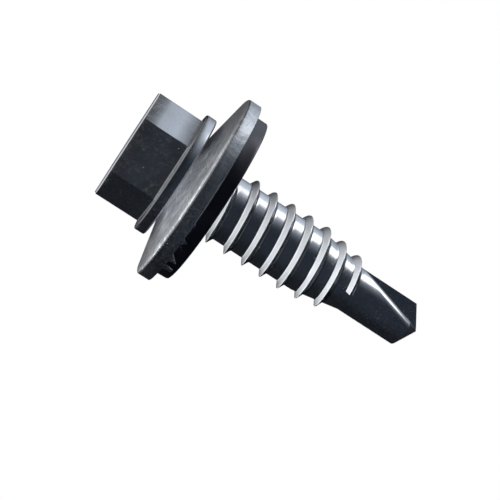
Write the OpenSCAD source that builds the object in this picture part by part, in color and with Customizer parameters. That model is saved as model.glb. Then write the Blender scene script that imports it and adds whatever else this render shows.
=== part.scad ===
// Self-drilling stitching screw, 6.3 mm thread, with a captive 16 mm bonded sealing washer.
// The screw stands on the flat top of its hexagon head, with its axis on +Z and its point up.
// One flat of the hexagon faces -Y. All sizes are in millimetres.

/* [Head] */
// Width of the hexagon across its flats
across_flats = 8; // [7:0.1:9]
// Height of the whole head, from its top face to the underside of the flange
head_h = 5; // [4:0.1:6.5]
// Radius that rounds the hexagon's top edges
head_round = 0.26; // [0.1:0.02:0.5]
// Diameter of the flange
flange_d = 10.45; // [9.9:0.05:12]
// Thickness of the flange at its rim
flange_t = 0.92; // [0.6:0.02:1.4]
// Radius that rounds both edges of the flange
flange_round = 0.14; // [0.05:0.01:0.25]

/* [Shank and thread] */
// Diameter of the plain shank under the head, which the washer turns on
shank_d = 5.5; // [5.4:0.05:5.8]
// Diameter over the thread's crests
crest_d = 6.3; // [6:0.05:7]
// Diameter at the bottom of the thread
root_d = 5.24; // [4.9:0.02:5.3]
// Distance from one turn of the thread to the next
pitch = 1.68; // [1.4:0.02:2]
// Width of the thread's crest
crest_w = 0.07; // [0.03:0.01:0.12]
// Angle between the two flanks of the thread
flank_angle = 58; // [50:1:64]
// Turns of thread, from where it rises to its blunt end
thread_turns = 7.18; // [4:0.02:9]
// Gap between the underside of the seal and the first turn
thread_start_gap = 0.05; // [0.03:0.01:0.3]
// Angle round the axis at which the thread rises from the shank
thread_start_angle = 216; // [0:1:359]
// Plain length of core between the thread's blunt end and the drill
run_out = 0.07; // [0.05:0.01:0.5]
// Length over which the core tapers down to the drill
taper_l = 4.05; // [2:0.05:5]

/* [Drill point] */
// Diameter of the drill
drill_d = 3.84; // [3.4:0.02:4.2]
// Length of the drill's straight body, from the taper to the corners of the point
drill_l = 5.24; // [4:0.02:8]
// Angle of the point
point_angle = 114; // [100:1:130]
// Distance from the axis to each flute's floor at the point
floor_at_point = 0.12; // [0.06:0.01:0.3]
// Thickness of the web between the two flutes
web_t = 0.16; // [0.1:0.01:0.4]
// Radius of the rolled heel beside each flute
heel_round = 0.8; // [0.4:0.05:1]
// Angle round the axis at which the cutting faces stand
flute_angle = 0; // [-30:1:30]

/* [Washer and seal] */
// Outer diameter of the steel washer
washer_d = 16; // [13.5:0.1:19]
// Thickness of the washer's sheet steel
washer_t = 1.1; // [0.8:0.05:1.4]
// Slope of the washer's dome
dome_angle = 11.7; // [6:0.1:15]
// Radius that rounds the washer's upper rim
washer_round = 0.2; // [0.05:0.01:0.4]
// Outer diameter of the rubber seal
seal_d = 14.35; // [12.5:0.05:15.5]
// Height of the seal that stands out below the washer's rim
seal_stand = 1.16; // [0.6:0.02:2]
// Radius that rounds the seal's lower edge
seal_round = 0.12; // [0.05:0.01:0.3]
// Radial clearance between the steel washer and the shank
washer_gap = 0.05; // [0.02:0.01:0.1]
// Radial clearance between the rubber seal and the shank
seal_gap = 0.08; // [0.02:0.01:0.1]
// Clearance between the underside of the flange and the top of the washer
dome_gap = 0.03; // [0.02:0.01:0.3]

/* [Hidden] */

// Facets round each turn of the thread
turn_steps = 40;
// Facets in a quarter of a rounded edge
arc_steps = 5;
// How far a cutter or a joined end runs past what it meets
spare = 0.25;

// Head
flange_r = flange_d / 2;
flange_top = head_h - flange_t;

// Washer and seal, from the shank outwards
shank_r = shank_d / 2;
washer_bore_r = shank_r + washer_gap;
seal_bore_r = shank_r + seal_gap;
washer_r = washer_d / 2;
seal_r = seal_d / 2;
dome_slope = tan(dome_angle);
washer_inner_z = head_h + dome_gap;
washer_rim_z = washer_inner_z + (washer_r - washer_bore_r) * dome_slope;
washer_low_z = washer_rim_z + washer_t;
seal_z = washer_low_z + seal_stand;

// Thread
crest_h = (crest_d - root_d) / 2;
base_w = crest_w + 2 * crest_h * tan(flank_angle / 2);
steps = round(thread_turns * turn_steps);
rise_steps = turn_steps / 6;
thread_z = seal_z + thread_start_gap;
taper_end = thread_z + base_w + pitch * steps / turn_steps + run_out;
taper_start = taper_end - taper_l;
// The taper ends a hair below the drill's own radius, where the two dies met
taper_step = 0.02;
core_end_r = drill_d / 2 - taper_step;

// Drill
drill_r = drill_d / 2;
point_z = taper_end + drill_l;
tip_z = point_z + drill_r / tan(point_angle / 2);
flute_lean = atan((drill_r - floor_at_point) / (tip_z - taper_end));
flute_l = (tip_z - taper_end) / cos(flute_lean);
// The heel's rounding runs this far past the drill's side, so that it breaks out at a clear angle
heel_break = 0.1;
heel_start = drill_r + heel_break - heel_round;

// Points of a quarter circle of radius r about (x, y), from angle a to angle a + 90
function quarter(x, y, r, a) =
    [for (i = [0:arc_steps]) [x + r * cos(a + i * 90 / arc_steps), y + r * sin(a + i * 90 / arc_steps)]];

// Radius of the shank's core at height z: straight, then tapering to the drill
function core_r(z) = root_d / 2 + (core_end_r - root_d / 2) * max(0, min(1, (z - taper_start) / taper_l));

// Height of the thread at step i: it rises over a sixth of a turn and then keeps its full height
function ridge_h(i) = crest_h * min(1, i / rise_steps);

function turn(i) = thread_start_angle + 360 * i / turn_steps;
function on_core(z, a) = [core_r(z) * cos(a), core_r(z) * sin(a), z];
function on_crest(z, h, a) = [(core_r(z) + h) * cos(a), (core_r(z) + h) * sin(a), z];

// One pair of parallel sides of the hexagon, with both top edges rounded
module flat_pair(turned) {
    half = across_flats / 2;
    in = half - head_round;
    rotate([0, 0, turned])
        rotate([90, 0, 90])
            linear_extrude(height = 2 * across_flats, center = true)
                polygon(concat(
                    [[half, flange_top + spare], [-half, flange_top + spare]],
                    quarter(-in, head_round, head_round, 180),
                    quarter(in, head_round, head_round, 270)));
}

module hexagon() {
    intersection() {
        flat_pair(0);
        flat_pair(60);
        flat_pair(120);
    }
}

module flange() {
    in = flange_r - flange_round;
    rotate_extrude($fn = 120)
        polygon(concat(
            [[0, head_h], [0, flange_top]],
            quarter(in, flange_top + flange_round, flange_round, 270),
            quarter(in, head_h - flange_round, flange_round, 0)));
}

module plain_shank() {
    translate([0, 0, head_h - spare])
        cylinder(h = thread_z - head_h + spare, d = shank_d, $fn = 120);
}

// The rolled length: a core and a right-hand ridge that winds round it, as one closed surface.
// Each step of a turn has four points, the ridge's two feet and the two edges of its crest, and
// the far foot of one turn is joined along the core to the near foot of the next.
module threaded_length() {
    n = turn_steps;
    feet = [for (i = [0:steps]) thread_z + pitch * i / n];
    ridge = [for (i = [0:steps])
        let (z = feet[i], a = turn(i), h = ridge_h(i), w = base_w)
        each [
            on_core(z, a),
            on_crest(z + (w - crest_w) / 2, h, a),
            on_crest(z + (w + crest_w) / 2, h, a),
            on_core(z + w, a)]];
    start_ring = [for (j = [1:n - 1]) on_core(thread_z, turn(j))];
    end_ring = [for (j = [0:n - 1]) on_core(taper_end, turn(steps + j))];
    caps = [[0, 0, thread_z], [0, 0, taper_end]];

    s0 = 4 * (steps + 1);
    e0 = s0 + n - 1;
    low = e0 + n;
    high = low + 1;
    function start(j) = j == 0 ? 0 : s0 + j - 1;
    function end(i) = e0 + (i - steps + n) % n;

    flanks = [for (i = [0:steps - 1]) for (k = [0:2])
        each [[4 * i + k, 4 * i + k + 1, 4 * i + k + 5], [4 * i + k, 4 * i + k + 5, 4 * i + k + 4]]];
    between = [for (i = [0:steps - n - 1])
        each [[4 * i + 3, 4 * (i + n), 4 * (i + n + 1)], [4 * i + 3, 4 * (i + n + 1), 4 * i + 7]]];
    entry = [for (j = [0:n - 2]) each (j == 0
        ? [[0, 4, start(1)]]
        : [[start(j), 4 * j, 4 * (j + 1)], [start(j), 4 * (j + 1), start(j + 1)]])];
    seam = [for (k = [0:2]) [start(n - 1), k + 1, k]];
    seam_end = [[start(n - 1), 4 * (n - 1), 4 * n], [start(n - 1), 4 * n, 3]];
    blunt = [[4 * steps, 4 * steps + 1, 4 * steps + 2], [4 * steps, 4 * steps + 2, 4 * steps + 3]];
    last = steps - n;
    step_over = [
        [4 * last + 3, 4 * steps, 4 * last + 7],
        [4 * steps, 4 * steps + 3, 4 * last + 7],
        [4 * steps + 3, end(last + 1), 4 * last + 7],
        [4 * steps + 3, end(last), end(last + 1)]];
    leaving = [for (i = [last + 1:steps - 1])
        each [[4 * i + 3, end(i), end(i + 1)], [4 * i + 3, end(i + 1), 4 * i + 7]]];
    low_cap = [for (j = [0:n - 1]) [low, start(j), start((j + 1) % n)]];
    high_cap = [for (j = [0:n - 1]) [high, e0 + (j + 1) % n, e0 + j]];

    polyhedron(
        points = concat(ridge, start_ring, end_ring, caps),
        faces = concat(flanks, between, entry, seam, seam_end, blunt, step_over, leaving, low_cap, high_cap),
        convexity = 10);
}

// One flute: a flat cutting face, and a floor that climbs from the axis at the point to the
// outside at the taper, with a rounded heel where the floor meets the land.
module flute_cut() {
    reach = drill_d;
    translate([floor_at_point, web_t / 2, tip_z])
        rotate([0, -flute_lean, 0])
            translate([0, 0, -flute_l - spare])
                linear_extrude(height = flute_l + 2 * spare)
                    polygon(concat(
                        [[reach, 0], [0, 0]],
                        quarter(-heel_round, heel_start, heel_round, 0),
                        [[-heel_round, reach], [reach, reach]]));
}

module drill() {
    difference() {
        rotate_extrude($fn = 96)
            polygon([[0, taper_end], [drill_r, taper_end], [drill_r, point_z], [0, tip_z]]);
        for (side = [0, 180])
            rotate([0, 0, flute_angle + side])
                flute_cut();
    }
}

module screw() {
    color("lightsteelblue")
        union() {
            hexagon();
            flange();
            plain_shank();
            threaded_length();
            drill();
        }
}

// Domed washer, pressed from sheet: both faces have the same slope
module steel_washer() {
    round_z = washer_rim_z + washer_round * (1 - dome_slope / 2);
    color("gainsboro")
        rotate_extrude($fn = 160)
            polygon(concat(
                [[washer_bore_r, washer_inner_z + washer_t], [washer_bore_r, washer_inner_z]],
                quarter(washer_r - washer_round, round_z, washer_round, 270),
                [[washer_r, washer_low_z]]));
}

// Rubber seal, moulded into the hollow underside of the washer
module rubber_seal() {
    top_at_edge = washer_low_z - (washer_r - seal_r) * dome_slope;
    top_at_bore = washer_low_z - (washer_r - seal_bore_r) * dome_slope;
    color("dimgray")
        rotate_extrude($fn = 160)
            polygon(concat(
                [[seal_bore_r, seal_z], [seal_bore_r, top_at_bore], [seal_r, top_at_edge]],
                quarter(seal_r - seal_round, seal_z - seal_round, seal_round, 0)));
}

screw();
steel_washer();
rubber_seal();
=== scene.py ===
"""The dressed self-drilling stitching screw with its bonded sealing washer, round the fixed frame."""
import math

import bmesh
import bpy
import numpy as np
from mathutils import Matrix, Vector


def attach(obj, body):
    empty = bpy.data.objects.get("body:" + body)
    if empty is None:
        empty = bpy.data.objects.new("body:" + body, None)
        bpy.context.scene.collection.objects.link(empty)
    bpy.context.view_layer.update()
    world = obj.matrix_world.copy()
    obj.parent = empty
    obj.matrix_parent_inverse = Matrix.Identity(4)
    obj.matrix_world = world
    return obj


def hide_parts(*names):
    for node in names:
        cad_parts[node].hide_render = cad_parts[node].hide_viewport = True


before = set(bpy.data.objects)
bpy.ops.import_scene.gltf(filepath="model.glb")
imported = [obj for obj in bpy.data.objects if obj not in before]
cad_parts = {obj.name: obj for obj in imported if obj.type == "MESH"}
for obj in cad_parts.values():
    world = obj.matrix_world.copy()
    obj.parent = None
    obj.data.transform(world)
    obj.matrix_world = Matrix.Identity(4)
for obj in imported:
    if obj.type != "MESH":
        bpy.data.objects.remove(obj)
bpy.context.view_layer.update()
MM = 0.001

# Camera
# A level lens would see the screw stand up; the picture is turned, so that the head lies to the
# upper left and the point to the lower right. Sizes here are in millimetres.
camera_at = (-1.4668, -81.7243, 0.273)
heading = math.radians(2.2598)
rise = math.radians(8.6346)
roll = math.radians(122.9312)
sensor_mm = 36
lens_mm = 75.6

camera_data = bpy.data.cameras.new("camera")
camera_data.sensor_width = sensor_mm
camera_data.lens = lens_mm
camera_data.clip_start = 0.001
camera_data.clip_end = 10
camera = bpy.data.objects.new("camera", camera_data)
level = Matrix.Rotation(-heading, 4, "Z") @ Matrix.Rotation(math.pi / 2 + rise, 4, "X")
turned = level @ Matrix.Rotation(roll, 4, "Z")
camera.matrix_world = Matrix.Translation([c * MM for c in camera_at]) @ turned
bpy.context.scene.collection.objects.link(camera)
bpy.context.scene.camera = camera
bpy.context.scene.view_settings.view_transform = "Standard"


# Floor
# A studio sheet that the screw stands on. The eye sees it white, with a soft shadow near the screw.
# Metal doesn't show it white: it shows a dim room through it, a few painted pools of light by the head
# and a thin painted shadow line at the head's foot.
class Signal:
    """Wraps a shader socket, so that Python's operators on it add Math nodes."""

    def __init__(self, tree, socket=None):
        self.tree = tree
        self.socket = socket

    def add(self, kind, settings=None, inputs=None, output=0):
        """Adds a node: its settings first, then its sockets' values or links."""
        node = self.tree.nodes.new(kind)
        for name, value in (settings or {}).items():
            setattr(node, name, value)
        for name, value in (inputs or {}).items():
            if isinstance(value, Signal):
                self.tree.links.new(value.socket, node.inputs[name])
            else:
                node.inputs[name].default_value = value
        return Signal(self.tree, node.outputs[output] if node.outputs else None)

    def math(self, operation, *values):
        """Adds a Math node that does an operation on values or signals."""
        return self.add("ShaderNodeMath", {"operation": operation}, dict(enumerate(values)))

    def __add__(self, other):
        return self.math("ADD", self, other)

    def __sub__(self, other):
        return self.math("SUBTRACT", self, other)

    def __rsub__(self, other):
        return self.math("SUBTRACT", other, self)

    def __mul__(self, other):
        return self.math("MULTIPLY", self, other)

    def __truediv__(self, other):
        return self.math("DIVIDE", self, other)

    def __rtruediv__(self, other):
        return self.math("DIVIDE", other, self)

    def __pow__(self, other):
        return self.math("POWER", self, other)

    def __rpow__(self, other):
        return self.math("POWER", other, self)

    __radd__ = __add__
    __rmul__ = __mul__

    def between(self, low, high):
        """A smooth step from 0 at low to 1 at high."""
        return self.add("ShaderNodeMapRange", {"interpolation_type": "SMOOTHSTEP"},
                        {"Value": self, "From Min": low, "From Max": high})


def new_material(name):
    """A node material with an empty tree: returns the material and a signal that adds nodes to it."""
    material = bpy.data.materials.new(name)
    material.use_nodes = True
    material.node_tree.nodes.clear()
    return material, Signal(material.node_tree)


def seen_directly(nodes):
    """1 for rays from the camera and for those off metal or through glass, else 0."""
    paths = [nodes.add("ShaderNodeLightPath", output=name)
             for name in ("Is Camera Ray", "Is Glossy Ray", "Is Transmission Ray")]
    return paths[0].math("MAXIMUM", paths[0], paths[1].math("MAXIMUM", paths[1], paths[2]))


# The sheet's size and tone, and the shadow's two reaches. Distances on the sheet are in metres.
sheet_half = 0.6
sheet_white = 0.82
sheet_glow = 1.06
sheet_fill = 0.07
sheet_shadow_share = 0.5
sheet_shadow_full = 0.025
sheet_shadow_end = 0.055

# What metal shows of the sheet, painted into its glow: a pool of light behind the head, a sector to
# its left and one to its right, a ring round the hexagon and one under its edge, and between those
# two a thin painted shadow line
pool_light = 1.0
pool_centre = (0.001, 0.0065, 0.0)
pool_squeeze = (1.5, 1.0, 1.0)
pool_full = 0.005
pool_end = 0.0095
left_light = 0.16
left_azimuth = math.radians(174)
left_width = (42, 27)
right_light = 0.16
right_azimuth = math.radians(58)
right_width = (24, 14)
flat_azimuths = (30, 90, 150)
ring_light = 0.9
ring_full = 0.0045
ring_end = 0.005
under_head_light = 1.2
under_head_end = 0.0039
contact_from = 0.00396
contact_to = 0.00404
contact_end = 0.0041
patch_cover = 4.0

sheet_mesh = bpy.data.meshes.new("studio_floor")
corners = np.array([(-1, -1, 0), (1, -1, 0), (1, 1, 0), (-1, 1, 0)]) * sheet_half
sheet_mesh.from_pydata(corners.tolist(), [], [(0, 1, 2, 3)])
studio_floor = bpy.data.objects.new("studio_floor", sheet_mesh)
bpy.context.scene.collection.objects.link(studio_floor)
sheet, nodes = new_material("studio_sheet")
matt = nodes.add("ShaderNodeBsdfDiffuse", inputs={"Color": (sheet_white, sheet_white, sheet_white, 1)})
place = nodes.add("ShaderNodeTexCoord", output="Object")


def away_from(centre, squeeze=(1, 1, 1)):
    """How far a place on the sheet lies from a centre, with each axis stretched first."""
    apart = nodes.add("ShaderNodeVectorMath", {"operation": "SUBTRACT"}, {0: place, 1: centre})
    apart = nodes.add("ShaderNodeVectorMath", {"operation": "MULTIPLY"}, {0: apart, 1: squeeze})
    return nodes.add("ShaderNodeVectorMath", {"operation": "LENGTH"}, {0: apart}, output="Value")


def across_sheet(azimuth):
    """How far a place lies from the screw's axis along a direction on the sheet."""
    return nodes.add("ShaderNodeVectorMath", {"operation": "DOT_PRODUCT"},
                     {0: place, 1: (math.cos(azimuth), math.sin(azimuth), 0)}, output="Value")


def sector(azimuth, width):
    """1 in a sector about the screw's axis, which fades between two half widths in degrees."""
    cosine = across_sheet(azimuth) / away_from((0, 0, 0))
    return cosine.between(*[math.cos(math.radians(half)) for half in width])


flats = [across_sheet(math.radians(turn)) for turn in flat_azimuths]
flats = [flat.math("ABSOLUTE", flat) for flat in flats]
off_head = flats[0].math("MAXIMUM", flats[0], flats[1].math("MAXIMUM", flats[1], flats[2]))
# A thin painted shadow line at the foot of the hexagon, which only metal shows
off_painted_contact_shadow = off_head.between(contact_to, contact_end)
patches = (1 - away_from(pool_centre, pool_squeeze).between(pool_full, pool_end)) * pool_light
ring = (1 - off_head.between(ring_full, ring_end)) * ring_light
left = sector(left_azimuth, left_width) * left_light
right = sector(right_azimuth, right_width) * right_light
for lit_part in (ring, left, right):
    patches = patches.math("MAXIMUM", patches, lit_part)
patches = patches * off_painted_contact_shadow
patches = patches + (1 - off_head.between(under_head_end, contact_from)) * under_head_light

# The sheet glows white to the eye, by its patches to metal and a little to matt things. Near the
# screw the eye sees a share of the matt sheet as well, which holds the shadow.
in_metal = nodes.add("ShaderNodeLightPath", output="Is Glossy Ray")
in_matt = nodes.add("ShaderNodeLightPath", output="Is Diffuse Ray")
near_screw = 1 - away_from((0, 0, 0)).between(sheet_shadow_full, sheet_shadow_end)
shadow = near_screw * sheet_shadow_share
strength = sheet_glow + shadow + in_metal * (patches - sheet_glow - shadow)
strength = strength + in_matt * (sheet_fill - sheet_glow - shadow)
glow = nodes.add("ShaderNodeEmission", inputs={"Strength": strength})
glow_share = in_matt.math("MAXIMUM", in_matt, seen_directly(nodes) * (1 - (1 - in_metal) * shadow))
sheet_surface = nodes.add("ShaderNodeMixShader", inputs={0: glow_share, 1: matt, 2: glow})
clear = nodes.add("ShaderNodeBsdfTransparent")

# To metal a faint patch lets the room below through, and a bright one hides it
patch_share = patches.math("MINIMUM", patches * patch_cover, 1.0)
metal_view = nodes.add("ShaderNodeMixShader", inputs={0: patch_share, 1: clear, 2: glow})
surface = nodes.add("ShaderNodeMixShader", inputs={
    0: in_metal * off_painted_contact_shadow, 1: sheet_surface, 2: metal_view})
nodes.add("ShaderNodeOutputMaterial", inputs={"Surface": surface})
sheet_mesh.materials.append(sheet)

# Studio light
# The eye sees white all round, and matt things get one even light. Metal shows a dark room with a
# pale wall on its -X side, a dim front, a grey ceiling and ground, and a small patch at the back.
room_dark = (0.0135, 0.0155, 0.02)
horizon_soft = 0.01
front_light = (0.012, 0.017, 0.025)
front_full = 0.9
wall_towards = (-0.946, 0.326, 0.0)
wall_falloff = 3
wall_light = (0.76, 0.83, 0.925)
wall_top_from = 0.3
wall_top = 0.95
ground_light = (0.28, 0.28, 0.28)
ground_from = 0.18
ground_full = 0.5
ceiling_light = (0.3, 0.32, 0.35)
ceiling_from = 0.88
ceiling_full = 0.98
backdrop_from = 0.98
backdrop_full = 0.997
backdrop_share = 0.2
matt_light = (0.12, 0.142, 0.17)
white = (1, 1, 1, 1)

world = bpy.data.worlds.new("studio")
world.use_nodes = True
world.node_tree.nodes.clear()
bpy.context.scene.world = world
nodes = Signal(world.node_tree)
towards = nodes.add("ShaderNodeTexCoord", output="Generated")


def along(direction):
    """How far a direction in the room points along a given one, from -1 to 1."""
    return nodes.add("ShaderNodeVectorMath", {"operation": "DOT_PRODUCT"},
                     {0: towards, 1: direction}, output="Value")


def with_light(room, amount, colour):
    """A room's light with some of a colour added to it."""
    added = nodes.add("ShaderNodeVectorMath", {"operation": "SCALE"}, {0: colour, "Scale": amount})
    return nodes.add("ShaderNodeVectorMath", {"operation": "ADD"}, {0: room, 1: added})


def blend(nodes, amount, first, second):
    """A colour that goes from a first one to a second as the amount goes from 0 to 1."""
    return nodes.add("ShaderNodeMix", {"data_type": "RGBA"}, {0: amount, 6: first, 7: second}, output=2)


upwards = along((0, 0, 1))
above_ground = upwards.between(-horizon_soft, horizon_soft)
to_wall = along(wall_towards)
wall = to_wall.math("MAXIMUM", to_wall, 0.0) ** wall_falloff
wall = wall * (1 - upwards.between(wall_top_from, wall_top)) * above_ground
front = along((0, -1, 0)).between(0.0, front_full) * above_ground
backdrop = along((0, 1, 0)).between(backdrop_from, backdrop_full) * above_ground * backdrop_share
room = with_light(room_dark, front, front_light)
room = with_light(room, along((0, 0, -1)).between(ground_from, ground_full), ground_light)
room = with_light(room, wall, wall_light)
room = with_light(room, upwards.between(ceiling_from, ceiling_full), ceiling_light)
room = blend(nodes, backdrop, room, white)
to_matt = nodes.add("ShaderNodeLightPath", output="Is Diffuse Ray")
to_eye = nodes.add("ShaderNodeLightPath", output="Is Camera Ray")
shown = blend(nodes, to_eye, blend(nodes, to_matt, room, (*matt_light, 1)), white)
background = nodes.add("ShaderNodeBackground", inputs={"Color": shown, "Strength": 1.0})
nodes.add("ShaderNodeOutputWorld", inputs={"Surface": background})


def soft_lamp(name, at, towards_at, width, height, brightness):
    """An oblong area lamp at a point in millimetres, turned towards another, which metal doesn't
    show. Its power is its brightness times pi and its area."""
    data = bpy.data.lights.new(name, "AREA")
    data.shape = "RECTANGLE"
    data.size = width * MM
    data.size_y = height * MM
    data.energy = brightness * math.pi * data.size * data.size_y
    lamp = bpy.data.objects.new(name, data)
    offset = Matrix.Translation([c * MM for c in at])
    aim = Vector(towards_at) - Vector(at)
    lamp.matrix_world = offset @ aim.to_track_quat("-Z", "Y").to_matrix().to_4x4()
    lamp.visible_glossy = False
    bpy.context.scene.collection.objects.link(lamp)


# Each lamp: where it hangs and what it is turned to, its width and height, and its brightness. The
# front lamp is far stronger than a plain level, because it only grazes the dome that it is for.
lamps = {
    "top_lamp": ((-12, 10, 150), (0, 0, 0), 60, 60, 10),
    "side_lamp": ((76, -50, 14), (0, 0, 8), 70, 10, 12),
    "front_lamp": ((26, -90, 14), (0, 0, 8), 70, 10, 190),
}
for name, sizes in lamps.items():
    soft_lamp(name, *sizes)

# A soft window beside the thread, which only metal and rubber show. Sizes in millimetres.
window_at = (-60, 0, 40)
window_squeeze = (1, 1, 0.75)
window_half = (26, 34)
window_full = 11
window_end = 25
window_light = 2.8
across, up = np.meshgrid([-1, 1], [-1, 1])
corners = np.stack([np.full(4, window_at[0]), window_at[1] + across.ravel() * window_half[0],
                    window_at[2] + up.ravel() * window_half[1]], -1) * MM
window_mesh = bpy.data.meshes.new("studio_window")
window_mesh.from_pydata(corners.tolist(), [], [(0, 1, 3, 2)])
studio_window = bpy.data.objects.new("studio_window", window_mesh)
bpy.context.scene.collection.objects.link(studio_window)
studio_window.visible_camera = False
studio_window.visible_diffuse = False
studio_window.visible_shadow = False
pane, nodes = new_material("window_glow")
place = nodes.add("ShaderNodeTexCoord", output="Object")
window_middle = [c * MM for c in window_at]
apart = nodes.add("ShaderNodeVectorMath", {"operation": "SUBTRACT"}, {0: place, 1: window_middle})
apart = nodes.add("ShaderNodeVectorMath", {"operation": "MULTIPLY"}, {0: apart, 1: window_squeeze})
apart = nodes.add("ShaderNodeVectorMath", {"operation": "LENGTH"}, {0: apart}, output="Value")
lit_share = 1 - apart.between(window_full * MM, window_end * MM)
clear = nodes.add("ShaderNodeBsdfTransparent")
shining = nodes.add("ShaderNodeEmission", inputs={"Strength": window_light})
pane_surface = nodes.add("ShaderNodeMixShader", inputs={0: lit_share, 1: clear, 2: shining})
nodes.add("ShaderNodeOutputMaterial", inputs={"Surface": pane_surface})
window_mesh.materials.append(pane)

# Screw
# One piece of hardened carbon steel: a cold-headed hexagon with a flange, a rolled coarse thread
# that runs out on a tapered core, and a pinched drill point. The whole of it is bright zinc plated.
across_flats = 8
head_h = 5
side_rings_z = (1.4, 2.7)
shank_ring_z = 6.5
head_round = 0.26
corner_round = 0.14
corner_round_most = 0.9
foot_fillet = 0.12
flange_r = 10.45 / 2
flange_t = 0.92
flange_round = 0.14
shank_r = 5.5 / 2
crest_r = 6.3 / 2
root_r = 5.24 / 2
pitch = 1.68
crest_w = 0.07
flank = math.radians(58 / 2)
thread_turns = 7.175
thread_z = 8.417
thread_from = 216
rise_turns = 1 / 6
run_out = 0.07
taper_l = 4.05
drill_r = 3.84 / 2
drill_l = 5.24
point_half = math.radians(114 / 2)
floor_at_point = 0.12
web_half = 0.16 / 2
heel_round = 0.8
heel_share = 0.42
taper_step = 0.004

crest_h = crest_r - root_r
base_w = crest_w + 2 * crest_h * math.tan(flank)
taper_end = thread_z + base_w + pitch * thread_turns + run_out
taper_start = taper_end - taper_l
core_end_r = drill_r - taper_step
tip_z = taper_end + drill_l + drill_r / math.tan(point_half)
floor_slope = (drill_r - floor_at_point) / (tip_z - taper_end)

turn_steps = 120
sector_steps = turn_steps // 6
arc_steps = 5
ridge_steps = 18
ridge_crowding = 0.4
root_steps = 6
body_steps = 60
point_steps = 20
face_steps = 8
heel_steps = 16
land_steps = 40


def arc(centre_r, centre_z, radius, start, steps=arc_steps):
    """A quarter circle in the (r, z) half-plane, from a start angle in degrees, as (steps + 1, 2)."""
    angle = np.radians(start + np.linspace(0, 90, steps + 1))
    return np.stack([centre_r + radius * np.cos(angle), centre_z + radius * np.sin(angle)], 1)


def hexagon_r(angle, apothem, rounding):
    """Distance from the axis to a hexagon with rounded corners: a flat's line, apothem / cos, and
    within a corner the far crossing of the ray with the rounding circle."""
    off_corner = np.abs((angle + 30) % 60 - 30)
    off_flat = np.radians(30 - off_corner)
    straight = apothem / np.cos(off_flat)
    reach = (apothem - rounding) / math.cos(math.pi / 6)
    beside = reach * np.sin(np.radians(off_corner))
    rounded = reach * np.cos(np.radians(off_corner)) + np.sqrt(np.maximum(rounding ** 2 - beside ** 2, 0))
    on_flat = apothem * np.tan(off_flat) <= (apothem - rounding) * math.tan(math.pi / 6)
    return np.where(on_flat, straight, rounded)


def core_r(z):
    """Radius of the core: straight, then falling evenly to the drill's over the taper."""
    return root_r + (core_end_r - root_r) * np.clip((z - taper_start) / taper_l, 0, 1)


def polar(radius, height, angle):
    """Points from radii, heights and angles in degrees, as an array with a last axis of 3."""
    angle = np.radians(angle)
    return np.stack([radius * np.cos(angle), radius * np.sin(angle), height], -1)


def head_and_shank():
    """Rings from the head's top face to the foot of the thread. Each ring is a hexagon or a circle,
    and the angles of its points drift from ones crowded at the six corners to even ones."""
    half = across_flats / 2
    flange_top = head_h - flange_t
    step = np.linspace(-1, 1, sector_steps + 1)[:-1]
    crowded = 30 * np.sign(step) * (1 - (1 - np.abs(step)) ** 2)
    starts = 270 + 60 * np.arange(6)
    hexagon_angles = (starts[:, None] + crowded[None, :]).ravel()
    even_angles = (starts[:, None] + 30 * step[None, :]).ravel()

    top = arc(half - head_round, head_round, head_round, 270)
    fillet_turn = np.linspace(0, math.pi / 2, arc_steps + 1)
    foot = np.stack([half + foot_fillet * (1 - np.cos(fillet_turn)),
                     flange_top - foot_fillet * (1 - np.sin(fillet_turn))], 1)
    inner = np.stack([np.linspace(0, half - head_round, arc_steps + 1)[:-1], np.zeros(arc_steps)], 1)
    sides = [[half, z] for z in side_rings_z]
    hexagon = np.concatenate([inner, top, sides, foot])
    rim = flange_r - flange_round
    flange = np.concatenate([
        arc(rim, flange_top + flange_round, flange_round, 270),
        arc(rim, head_h - flange_round, flange_round, 0),
        [[shank_r, head_h]]])
    shank = np.array([[shank_r, shank_ring_z], [shank_r, root_z], [float(core_r(root_z)), root_z]])

    rings = []
    for r, z in hexagon:
        rounding = min(corner_round, corner_round_most * r) if r > 0 else 0
        radius = hexagon_r(hexagon_angles, r, rounding) if r > 0 else np.zeros(turn_steps)
        rings.append((radius, np.full(turn_steps, z), hexagon_angles))
    for r, z in flange:
        rings.append((np.full(turn_steps, r), np.full(turn_steps, z), hexagon_angles))
    for r, z in shank:
        rings.append((np.full(turn_steps, r), np.full(turn_steps, z), even_angles))
    radius, height, angle = (np.array([ring[k] for ring in rings]) for k in range(3))
    return polar(radius, height, angle)


# The helical surface begins a fillet's width below the thread's foot
foot_soft = 0.07
crest_soft = 0.05
edge_spare = 0.006
edge_w = foot_soft * math.tan(flank) + edge_spare
root_z = thread_z - edge_w


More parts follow.
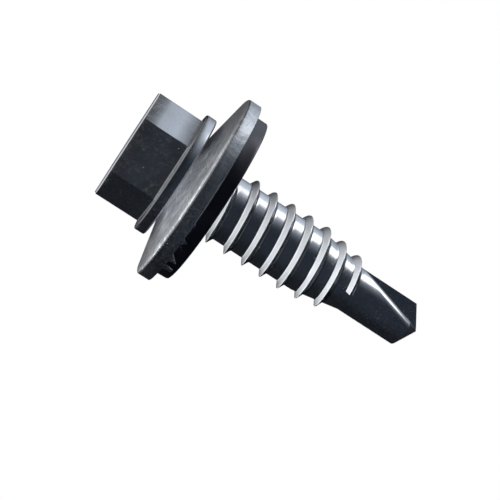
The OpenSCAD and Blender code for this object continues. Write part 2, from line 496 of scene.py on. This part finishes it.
def threaded_length():
    """The rolled surface: one strip a pitch wide, wound on itself. Its height above the core is that
    of a triangular ridge, rounded into the core at its foot and cut off and rounded at its crest.
    A plain turn before and after it is squeezed flat against the ring that it starts or ends at."""
    across = np.linspace(-1, 1, ridge_steps + 1)
    half_foot = base_w / 2 + edge_w
    ridge = half_foot * across * np.abs(across) ** ridge_crowding
    root = np.linspace(half_foot, pitch - half_foot, root_steps + 1)[1:]
    offset = np.concatenate([ridge, root])
    slope_h = (base_w / 2 - np.abs(offset)) / math.tan(flank)
    foot_share = np.maximum(foot_soft - np.abs(slope_h), 0)
    ridge_h = np.maximum(slope_h, 0) + foot_share ** 2 / (4 * foot_soft)
    crest_share = np.maximum(crest_soft - np.abs(ridge_h - crest_h), 0)
    ridge_h = np.minimum(ridge_h, crest_h) - crest_share ** 2 / (4 * crest_soft)

    last = round(thread_turns * turn_steps)
    steps = np.concatenate([np.arange(-turn_steps, last + 1), np.arange(last, last + turn_steps + 1)])
    height = np.clip(steps / turn_steps / rise_turns, 0, 1)
    height[last + turn_steps + 1:] = 0
    z = root_z + pitch * steps[:, None] / turn_steps + (offset + half_foot)[None, :]
    z = np.clip(z, root_z, taper_end)
    radius = core_r(z) + height[:, None] * ridge_h[None, :]
    angle = np.broadcast_to(thread_from + 360 * steps[:, None] / turn_steps, z.shape)
    return polar(radius, z, angle)


def drill_point():
    """Rings of the drill: a circle, that narrows to the point, less two flutes. A flute is bounded by
    a flat cutting face, a floor that leans in towards the point and a heel, a circle that touches
    both the floor and the land. A ring's points run from the outer corner to the inner one, up the
    floor, round the heel and over the land."""
    body_z = np.linspace(taper_end, taper_end + drill_l, body_steps + 1)
    point_z = np.linspace(taper_end + drill_l, tip_z, point_steps + 1)[1:]
    z = np.concatenate([body_z, point_z])
    outer = np.minimum(drill_r, (tip_z - z) * math.tan(point_half))
    floor = floor_at_point + (tip_z - z) * floor_slope
    web = np.minimum(web_half, outer)
    heel = np.minimum(heel_round, heel_share * outer)

    corner = np.sqrt(outer ** 2 - web ** 2)
    inner = np.minimum(floor, corner)
    heel_y = np.sqrt(np.maximum((outer - heel) ** 2 - (inner - heel) ** 2, web ** 2))
    sweep = np.arctan2(heel_y, inner - heel)
    part_way = np.linspace(0, 1, face_steps + 1)[:-1]
    face_x = corner[:, None] + (inner - corner)[:, None] * part_way
    face = np.stack([face_x, np.repeat(web[:, None], face_steps, 1)], -1)
    wall_y = web[:, None] + (heel_y - web)[:, None] * part_way
    wall = np.stack([np.repeat(inner[:, None], face_steps, 1), wall_y], -1)
    turn = sweep[:, None] * np.linspace(0, 1, heel_steps + 1)
    arc_x = (inner - heel)[:, None] + heel[:, None] * np.cos(turn)
    arc_y = heel_y[:, None] + heel[:, None] * np.sin(turn)
    rolled = np.stack([arc_x[:, :-1], arc_y[:, :-1]], -1)
    end_x, end_y = arc_x[:, -1], arc_y[:, -1]
    start = np.arctan2(end_y, end_x)
    matt_share_and_painted_light = np.arctan2(web, corner) + math.pi
    land_angle = start[:, None] + (matt_share_and_painted_light - start)[:, None] * np.linspace(0, 1, land_steps + 1)[:-1]
    land = outer[:, None, None] * np.stack([np.cos(land_angle), np.sin(land_angle)], -1)
    side = np.concatenate([face, wall, rolled, land], 1)
    ring = np.concatenate([side, -side], 1)
    return np.concatenate([ring, np.repeat(z[:, None, None], ring.shape[1], 1)], -1)


def grid_faces(rows, columns, closed):
    """The quads of a grid of points numbered row by row, joined end to end along its rows if closed."""
    across = columns if closed else columns - 1
    row, column = np.meshgrid(np.arange(rows - 1), np.arange(across), indexing="ij")
    beside = (column + 1) % columns
    this_row, next_row = row * columns, (row + 1) * columns
    quads = [this_row + column, this_row + beside, next_row + beside, next_row + column]
    return np.stack(quads, -1).reshape(-1, 4)


weld_gap = 3e-4
sliver = 1e-5


def skin(name, patches, sharp=32):
    """One mesh object from grids of points in millimetres, each with a flag that says if its rows
    close. Points that coincide are welded, two open rings that are left are bridged, and edges
    sharper than an angle in degrees stay crisp."""
    points, faces, count = [], [], 0
    for patch, closed in patches:
        points.append(patch.reshape(-1, 3))
        faces.append(grid_faces(*patch.shape[:2], closed) + count)
        count += len(points[-1])
    mesh = bpy.data.meshes.new(name)
    mesh.from_pydata(np.concatenate(points).tolist(), [], np.concatenate(faces).tolist())
    welded = bmesh.new()
    welded.from_mesh(mesh)
    bmesh.ops.remove_doubles(welded, verts=welded.verts, dist=weld_gap)
    bmesh.ops.dissolve_degenerate(welded, edges=welded.edges, dist=sliver)
    open_edges = [edge for edge in welded.edges if edge.is_boundary]
    if open_edges:
        bmesh.ops.bridge_loops(welded, edges=open_edges)
    bmesh.ops.recalc_face_normals(welded, faces=welded.faces)
    bmesh.ops.scale(welded, vec=(MM, MM, MM), verts=welded.verts)
    welded.to_mesh(mesh)
    welded.free()
    mesh.shade_smooth()
    mesh.set_sharp_from_angle(angle=math.radians(sharp))
    piece = bpy.data.objects.new(name, mesh)
    bpy.context.scene.collection.objects.link(piece)
    return piece


screw = skin("zinc_plated_screw", [
    (head_and_shank(), True), (threaded_length(), False), (drill_point(), True)])

# The plate's tones: a bright scratch, a scuff, a pale matt tone that on the screw's flanks is a painted
# highlight, and a dark tone of painted shade
bright_scratch = (0.88, 0.89, 0.9, 1)
dark_scuff = (0.3, 0.32, 0.35, 1)
pale_matt_and_painted_highlight = (0.865, 0.9, 0.945, 1)
painted_shade_tone = (0.09, 0.1, 0.115, 1)
clouded = 0.88


def metal(name, tint, dull, clouding, streaks, scratching, specking, stretched, satin_and_painted_light):
    """Bright plated steel. Broad clouds change its colour and gloss, and fine scratches are noise
    drawn out long in the spaces that stretched gives. Small specks are a little pale and matt. Where
    satin_and_painted_light is 1 the plate is pale and matt all over, a matt finish on the washer's dome
    and a painted highlight on the screw's flanks, and where it is -1 it is dark, painted shade."""
    material, nodes = new_material(name)
    place = nodes.add("ShaderNodeTexCoord", output="Object")
    parts = [nodes.add("ShaderNodeSeparateXYZ", inputs={0: place}, output=k) for k in range(3)]
    radius = (parts[0] * parts[0] + parts[1] * parts[1]) ** 0.5
    clouds = nodes.add("ShaderNodeTexNoise", inputs={
        "Vector": place, "Scale": 520.0, "Detail": 5.0, "Roughness": 0.62})
    specks = nodes.add("ShaderNodeTexNoise", inputs={
        "Vector": place, "Scale": 6500.0, "Detail": 2.0, "Roughness": 0.7})
    lines = None
    for drawn_out in stretched(*parts, radius):
        lines_at = nodes.add("ShaderNodeCombineXYZ", inputs=dict(enumerate(drawn_out)))
        some = nodes.add("ShaderNodeTexNoise", inputs={
            "Vector": lines_at, "Scale": 1.0, "Detail": 3.0, "Roughness": 0.6})
        lines = some if lines is None else lines.math("MAXIMUM", lines, some)
    worn = clouds.between(0.38, 0.66)
    cut = lines.between(0.56, 0.68)
    scuffed = (1 - lines.between(0.34, 0.6)) * streaks
    matt_share_and_painted_light = satin_and_painted_light(nodes, parts, radius)
    # Painted shade: dark where the share is below 0, on the screw's flanks that face the point
    painted_shade = matt_share_and_painted_light.math("MAXIMUM", matt_share_and_painted_light * -1, 0.0)
    # Pale and matt where the share is above 0: a matt finish on the dome, a painted highlight on the
    # screw's flanks, and pale specks
    pale = matt_share_and_painted_light.math("MAXIMUM", matt_share_and_painted_light, 0.0) * (0.8 + cut * streaks)
    pale = pale.math("MAXIMUM", pale, specks.between(0.5, 0.75) * specking)
    colour = blend(nodes, worn, (*[c * clouded for c in tint], 1), (*tint, 1))
    colour = blend(nodes, cut * streaks, colour, bright_scratch)
    colour = blend(nodes, pale, colour, pale_matt_and_painted_highlight)
    colour = blend(nodes, scuffed, colour, dark_scuff)
    colour = blend(nodes, painted_shade, colour, painted_shade_tone)
    rough = dull + worn * clouding + cut * 0.06
    rough = rough + pale * 0.3
    solid = 1 - pale * 0.85
    bump = nodes.add("ShaderNodeBump", inputs={"Height": clouds * clouding * 8 + lines * scratching,
                                               "Distance": 1e-6, "Strength": 1.0})
    shader = nodes.add("ShaderNodeBsdfPrincipled", inputs={
        "Base Color": colour, "Metallic": solid, "Roughness": rough, "Normal": bump})
    nodes.add("ShaderNodeOutputMaterial", inputs={"Surface": shader})
    return material


def along_the_screw(x, y, z, radius):
    """Scratches run up the screw, with a slight lean, and a few cross them."""
    return [(x * 5200 + z * 900, y * 5200, z * 700 + x * 300),
            (x * 900 + y * 300, y * 900, z * 4200 + x * 2000)]


# How far each place of painted flank light and the scuffed flat fades out, in millimetres
head_fade = 0.1
core_fade = 0.15
foot_fade = 0.02
end_fade = 0.3


def painted_flank_light_and_scuffs(nodes, parts, radius):
    """Pale and matt on the thread's flanks that face the head, a painted highlight, and dark on those
    that face the point, painted shade, as the photo shows them. One flat of the head has fine pale
    scuffs too."""
    normal = nodes.add("ShaderNodeTexCoord", output="Normal")
    facing = nodes.add("ShaderNodeSeparateXYZ", inputs={0: normal}, output=2)
    to_front = nodes.add("ShaderNodeSeparateXYZ", inputs={0: normal}, output=1) * -1
    place = nodes.add("ShaderNodeTexCoord", output="Object")
    scuffs = nodes.add("ShaderNodeTexNoise", inputs={
        "Vector": place, "Scale": 2600.0, "Detail": 6.0, "Roughness": 0.75})
    head_end_z = head_h - flange_t
    on_head = 1 - parts[2].between((head_end_z - head_fade) * MM, head_end_z * MM)
    scuffed_flat = to_front.between(0.95, 0.995) * on_head * (0.004 + scuffs.between(0.5, 0.75) * 0.02)
    on_thread = (radius.between(core_end_r * MM, (core_end_r + core_fade) * MM)
                 * parts[2].between((thread_z - foot_fade) * MM, (thread_z + foot_fade) * MM)
                 * (1 - parts[2].between((taper_end - end_fade) * MM, taper_end * MM)))
    # Painted light: a pale highlight on the flanks that face the head, painted shade on those that face
    # the point
    flanks = (facing * -1).between(0.3, 0.65) * 0.55 - facing.between(0.15, 0.5)
    return flanks * on_thread + scuffed_flat


screw.data.materials.append(metal(
    "zinc_plate", tint=(0.69, 0.71, 0.75), dull=0.19, clouding=0.03, streaks=0.08, scratching=0.2,
    specking=0.008, stretched=along_the_screw, satin_and_painted_light=painted_flank_light_and_scuffs))
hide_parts("screw")
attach(screw, "screw")

# Steel washer
# Pressed from sheet into a shallow dome, bright, with fine scratches round it from the tool. Its
# lower edge was sheared, and torn burrs hang from it over the rubber on one side.
washer_r = 8
washer_t = 1.1
washer_bore_r = 2.8
washer_inner_z = 5.03
washer_round = 0.2
bore_break = 0.08
dome_slope = math.tan(math.radians(11.7))
washer_rim_z = washer_inner_z + (washer_r - washer_bore_r) * dome_slope
washer_low_z = washer_rim_z + washer_t
edge_break = 0.02
underside_in = 0.25
washer_steps = 1080
upper_rings = 14
rim_steps = 8
side_rings = 5
lower_rings = 12
burr_t = 0.07
burr_back_drop = 0.85

# Each burr: where it starts, is deepest and ends, in degrees round the axis, and how deep it hangs
# there in millimetres. The torn strip has two lower corners, and the second hangs a little deeper.
burrs = [(-75.7, -74.6, -73.6, 0.1), (-65.2, -63.4, -61.0, 0.37), (-53.3, -48.2, -47.4, 0.6)]
torn_strip = (-43.5, -43.1, -40.2, -39.6)
torn_depth = 0.68
torn_lean = 1.05


def burr_depth(angle):
    """How far the lower edge hangs down: triangles and one blunt strip, all by straight lines."""
    depth = np.zeros_like(angle)
    for start, deepest, end, most in burrs:
        depth = np.maximum(depth, np.interp(angle, [start, deepest, end], [0, most, 0]))
    strip = np.interp(angle, torn_strip, [0, torn_depth, torn_depth * torn_lean, 0])
    return np.maximum(depth, strip)


def washer_surface():
    """The dome's section turned about the axis: the bore, the upper slope, the rounded rim, the side
    and the lower slope. The side's lower points drop by the depth of the burrs."""
    angle = np.linspace(-180, 180, washer_steps + 1)[:-1]
    round_z = washer_rim_z + washer_round * (1 - dome_slope / 2)
    slope_r = np.linspace(washer_bore_r + bore_break, washer_r - washer_round, upper_rings)
    upper = np.stack([slope_r, washer_inner_z + (slope_r - washer_bore_r) * dome_slope], 1)
    rim = arc(washer_r - washer_round, round_z, washer_round, 270, rim_steps)
    side_z = np.linspace(round_z, washer_low_z, side_rings + 2)[1:-1]
    side = np.stack([np.full(side_rings, washer_r), side_z], 1)
    lower_r = np.linspace(washer_r - underside_in, washer_bore_r, lower_rings)
    lower = np.stack([lower_r, washer_low_z - (washer_r - lower_r) * dome_slope], 1)
    bore = np.array([[washer_bore_r, washer_inner_z + bore_break]])
    edge = np.array([[washer_r, washer_low_z - edge_break], [washer_r - edge_break, washer_low_z],
                     [washer_r - burr_t, washer_low_z - edge_break / 2]])
    profile = np.concatenate([upper, rim[1:], side, edge, lower, bore])
    drop = np.zeros(len(profile))
    at = len(upper) + len(rim) - 1 + len(side)
    drop[at:at + 2] = 1
    drop[at + 2] = burr_back_drop
    z = profile[:, 1][:, None] + drop[:, None] * burr_depth(angle)[None, :]
    radius = np.broadcast_to(profile[:, 0][:, None], z.shape)
    grid = polar(radius, z, np.broadcast_to(angle, z.shape))
    return np.concatenate([grid, grid[:1]])


def round_the_washer(x, y, z, radius):
    """Scratches run round the washer, and hairlines cross it two ways."""
    return [(x / radius * 2.4, y / radius * 2.4, (radius + z * 0.4) * 4200),
            (x * 5600 + y * 3600 + z * 900, (y * 5600 - x * 3600) * 0.09, z * 1400),
            (x * 4400 - y * 4800 - z * 900, (y * 4400 + x * 4800) * 0.09, z * 1400)]


def brushed_dome(nodes, parts, radius):
    """Partly matt on the dome's upper slope and bright on the rim's side, as the photo shows them."""
    normal = nodes.add("ShaderNodeTexCoord", output="Normal")
    facing = nodes.add("ShaderNodeSeparateXYZ", inputs={0: normal}, output=2)
    place = nodes.add("ShaderNodeTexCoord", output="Object")
    blotches = nodes.add("ShaderNodeTexNoise", inputs={"Vector": place, "Scale": 420.0, "Detail": 4.0})
    return (facing * -1).between(0.6, 0.95) * (0.46 + blotches.between(0.35, 0.7) * 0.3)


steel_washer = skin("domed_steel_washer", [(washer_surface(), True)])
steel_washer.data.materials.append(metal(
    "washer_plate", tint=(0.72, 0.74, 0.78), dull=0.25, clouding=0.06, streaks=0.8, scratching=2.5,
    specking=0.012, stretched=round_the_washer, satin_and_painted_light=brushed_dome))
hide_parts("steel_washer")
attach(steel_washer, "washer")

# Rubber seal
# Black rubber moulded into the hollow of the washer and bonded to it. Its side is a little uneven
# where the mould parted, and its lower edge is rounded.
seal_r = 14.35 / 2
seal_bore_r = 2.83
seal_z = washer_low_z + 1.16
seal_round = 0.12
bond_gap = 0.01
seal_wave = 0.012
seal_ripple = 0.008
seal_steps = 360
bond_rings = 6
wall_rings = 8
low_steps = 6
flat_rings = 11


def seal_surface():
    """The seal's section turned about the axis, with slow waves of a few hundredths in its side."""
    angle = np.linspace(-180, 180, seal_steps + 1)[:-1]
    top_edge = washer_low_z - (washer_r - seal_r) * dome_slope + bond_gap
    top_bore = washer_low_z - (washer_r - seal_bore_r) * dome_slope + bond_gap
    top_r = np.linspace(seal_bore_r, seal_r, bond_rings)
    top = np.stack([top_r, np.linspace(top_bore, top_edge, bond_rings)], 1)
    side_z = np.linspace(top_edge, seal_z - seal_round, wall_rings + 2)[1:-1]
    side = np.stack([np.full(wall_rings, seal_r), side_z], 1)
    low = arc(seal_r - seal_round, seal_z - seal_round, seal_round, 0, low_steps)
    flat_r = np.linspace(seal_r - seal_round, seal_bore_r, flat_rings + 1)[1:]
    flat = np.stack([flat_r, np.full(flat_rings, seal_z)], 1)
    profile = np.concatenate([top, side, low, flat])
    turn = np.radians(angle)[None, :]
    z = np.broadcast_to(profile[:, 1][:, None], (len(profile), seal_steps))
    outer = (profile[:, 0][:, None] > seal_r - seal_round / 2) * (z > top_edge + bond_gap)
    wave = seal_wave * np.sin(5 * turn + 2 * z) + seal_ripple * np.sin(13 * turn - 3 * z)
    radius = profile[:, 0][:, None] + outer * (wave - seal_wave)
    grid = polar(radius, z, np.broadcast_to(angle, z.shape))
    return np.concatenate([grid, grid[:1]])


rubber_black = (0.00015, 0.00015, 0.0003, 1)
rubber_bloom = (0.0004, 0.0004, 0.0007, 1)
rubber_seal = skin("moulded_rubber_seal", [(seal_surface(), True)])
rubber, nodes = new_material("black_seal_rubber")
place = nodes.add("ShaderNodeTexCoord", output="Object")
grain = nodes.add("ShaderNodeTexNoise", inputs={"Vector": place, "Scale": 5200.0, "Detail": 3.0})
bloom = nodes.add("ShaderNodeTexNoise", inputs={"Vector": place, "Scale": 600.0, "Detail": 4.0})
tone = blend(nodes, bloom.between(0.35, 0.7), rubber_black, rubber_bloom)
bump = nodes.add("ShaderNodeBump", inputs={
    "Height": grain + bloom * 2.0, "Distance": 6e-6, "Strength": 0.6})
body = nodes.add("ShaderNodeBsdfPrincipled", inputs={
    "Base Color": tone, "Roughness": 0.26 + bloom.between(0.3, 0.7) * 0.08, "Normal": bump,
    "IOR": 1.5, "Specular IOR Level": 0.85, "Specular Tint": (0.86, 0.88, 1.0, 1)})
nodes.add("ShaderNodeOutputMaterial", inputs={"Surface": body})
rubber_seal.data.materials.append(rubber)
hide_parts("rubber_seal")
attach(rubber_seal, "washer")
